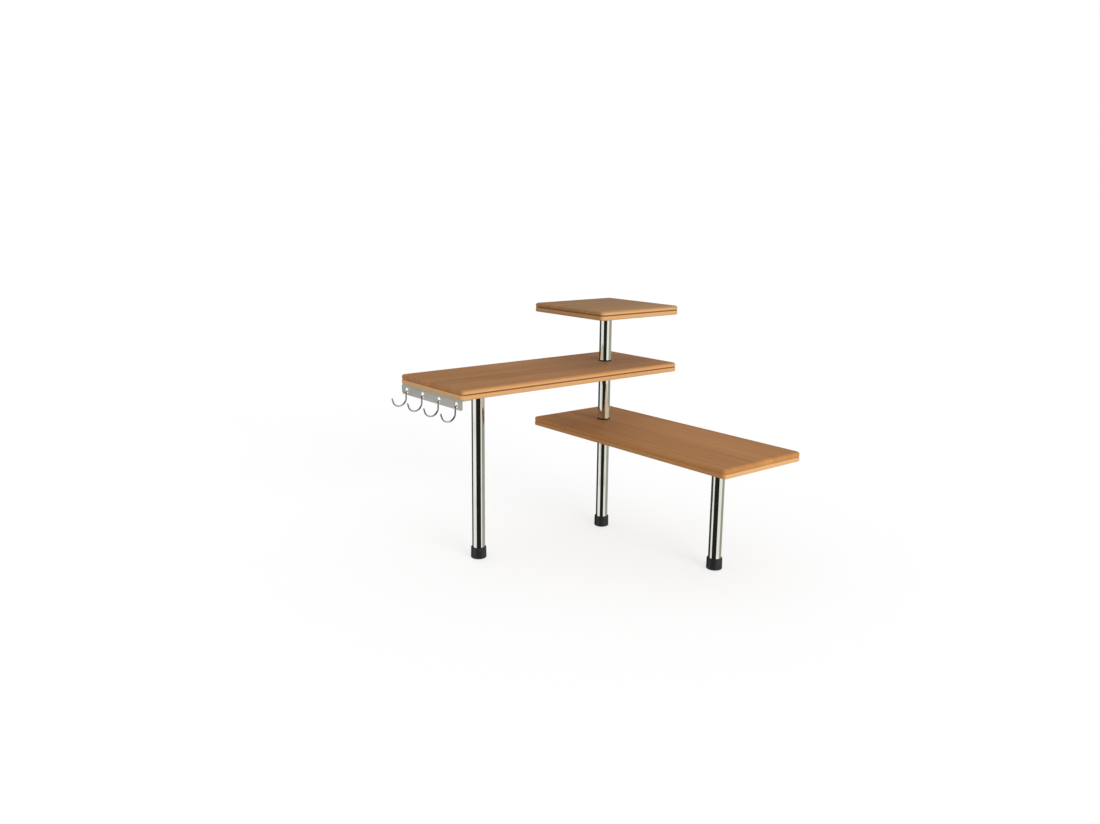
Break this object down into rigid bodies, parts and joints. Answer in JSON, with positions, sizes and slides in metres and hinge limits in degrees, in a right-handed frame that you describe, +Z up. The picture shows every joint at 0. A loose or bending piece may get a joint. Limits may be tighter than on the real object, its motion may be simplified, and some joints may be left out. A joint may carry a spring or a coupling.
{
  "type": "corner kitchen shelf",
  "caption": "Tiered corner kitchen shelf: wooden boards that swivel on a stacked steel post, steel legs with black foot caps, and a rail of wire hooks under one arm.",
  "frame": {"origin": "on the worktop, at the middle of the underside of the post's foot cap", "axes": "+Z up along the post; the lower shelf runs along +X and the middle shelf along -Y, so the corner of the room lies towards -X and +Y"},
  "size_m": [0.43, 0.4567, 0.385],
  "materials": {
    "oiled_wood": "oiled, fine straight grain",
    "polished_steel": "polished",
    "hook_wire": "bright plated wire",
    "brushed_steel": "brushed along its length",
    "zinc_steel": "zinc plated",
    "foot_plastic": "satin moulded",
    "plug_plastic": "satin moulded"
  },
  "bodies": {
    "post": {"post_foot": "foot_plastic", "post_tube_lower": "polished_steel", "post_tube_middle": "polished_steel", "post_tube_upper": "polished_steel", "lower_tube_top_plug": "plug_plastic", "middle_tube_bottom_plug": "plug_plastic", "middle_tube_top_plug": "plug_plastic", "upper_tube_bottom_plug": "plug_plastic", "upper_tube_top_plug": "plug_plastic", "lower_shelf_stud": "zinc_steel", "middle_shelf_stud": "zinc_steel", "top_shelf_stud": "zinc_steel"},
    "top_arm": {"top_shelf": "oiled_wood", "top_shelf_insert": "zinc_steel"},
    "middle_arm": {"middle_shelf": "oiled_wood", "middle_leg_tube": "polished_steel", "middle_leg_plug": "plug_plastic", "middle_leg_stud": "zinc_steel", "middle_leg_insert": "zinc_steel", "middle_leg_foot": "foot_plastic", "hook_rail": "brushed_steel", "rail_screw_back": "zinc_steel", "rail_screw_front": "zinc_steel"},
    "lower_arm": {"lower_shelf": "oiled_wood", "lower_leg_tube": "polished_steel", "lower_leg_plug": "plug_plastic", "lower_leg_stud": "zinc_steel", "lower_leg_insert": "zinc_steel", "lower_leg_foot": "foot_plastic"},
    "hook_1_wire": {"hook_1": "hook_wire"},
    "hook_2_wire": {"hook_2": "hook_wire"},
    "hook_3_wire": {"hook_3": "hook_wire"},
    "hook_4_wire": {"hook_4": "hook_wire"}
  },
  "joints": [
    {"name": "top_swivel", "type": "hinge", "parent": "post", "child": "top_arm", "pos_m": [0, 0, 0.3705], "axis": [0, 0, 1], "continuous": true},
    {"name": "middle_swivel", "type": "hinge", "parent": "post", "child": "middle_arm", "pos_m": [0, 0, 0.2755], "axis": [0, 0, 1], "range_deg": [-120, 30]},
    {"name": "lower_swivel", "type": "hinge", "parent": "post", "child": "lower_arm", "pos_m": [0, 0, 0.1755], "axis": [0, 0, 1], "range_deg": [-30, 120]},
    {"name": "hook_1_swing", "type": "hinge", "parent": "middle_arm", "child": "hook_1_wire", "pos_m": [-0.0675, -0.34375, 0.2624], "axis": [-1, 0, 0], "range_deg": [0, 90]},
    {"name": "hook_2_swing", "type": "hinge", "parent": "middle_arm", "child": "hook_2_wire", "pos_m": [-0.0225, -0.34375, 0.2624], "axis": [-1, 0, 0], "range_deg": [0, 90]},
    {"name": "hook_3_swing", "type": "hinge", "parent": "middle_arm", "child": "hook_3_wire", "pos_m": [0.0225, -0.34375, 0.2624], "axis": [-1, 0, 0], "range_deg": [0, 90]},
    {"name": "hook_4_swing", "type": "hinge", "parent": "middle_arm", "child": "hook_4_wire", "pos_m": [0.0675, -0.34375, 0.2624], "axis": [-1, 0, 0], "range_deg": [0, 90]}
  ]
}
